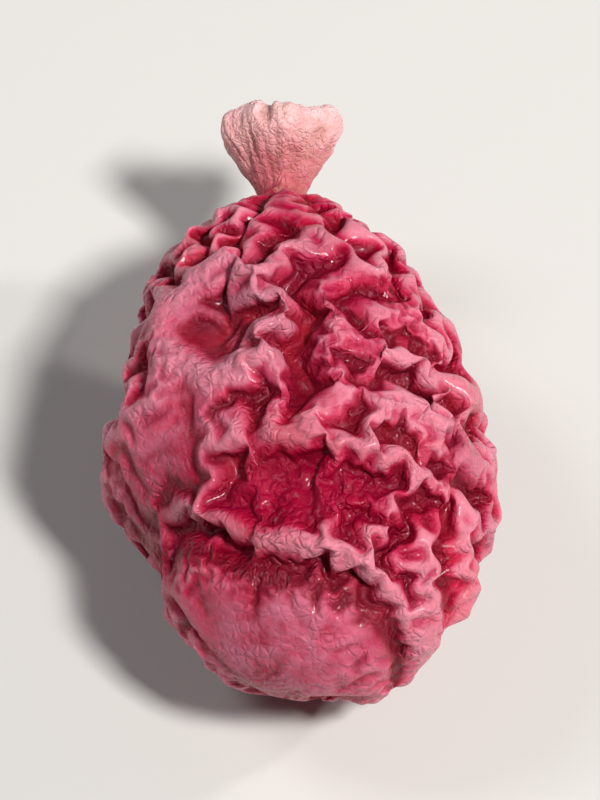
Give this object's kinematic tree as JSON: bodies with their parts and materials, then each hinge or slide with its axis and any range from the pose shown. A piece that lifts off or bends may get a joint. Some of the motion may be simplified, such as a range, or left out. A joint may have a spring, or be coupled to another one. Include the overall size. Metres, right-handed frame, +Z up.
{
  "type": "dried barberry",
  "caption": "One whole dried barberry: a plump oval berry with a deeply wrinkled crimson skin and the pale button of its dried stigma at the tip, lying on its side.",
  "frame": {"origin": "centre of the berry's box, on the surface that the berry lies on", "axes": "+Y along the berry towards its stigma, +Z up, +X across it"},
  "size_m": [0.006, 0.01, 0.0051],
  "materials": {
    "dried_skin": "wrinkled, leathery, slightly waxy crimson skin",
    "dried_stigma": "dry, corky, pale cream to tan"
  },
  "bodies": {
    "root": {"berry": "dried_skin", "stigma": "dried_stigma"}
  },
  "joints": []
}
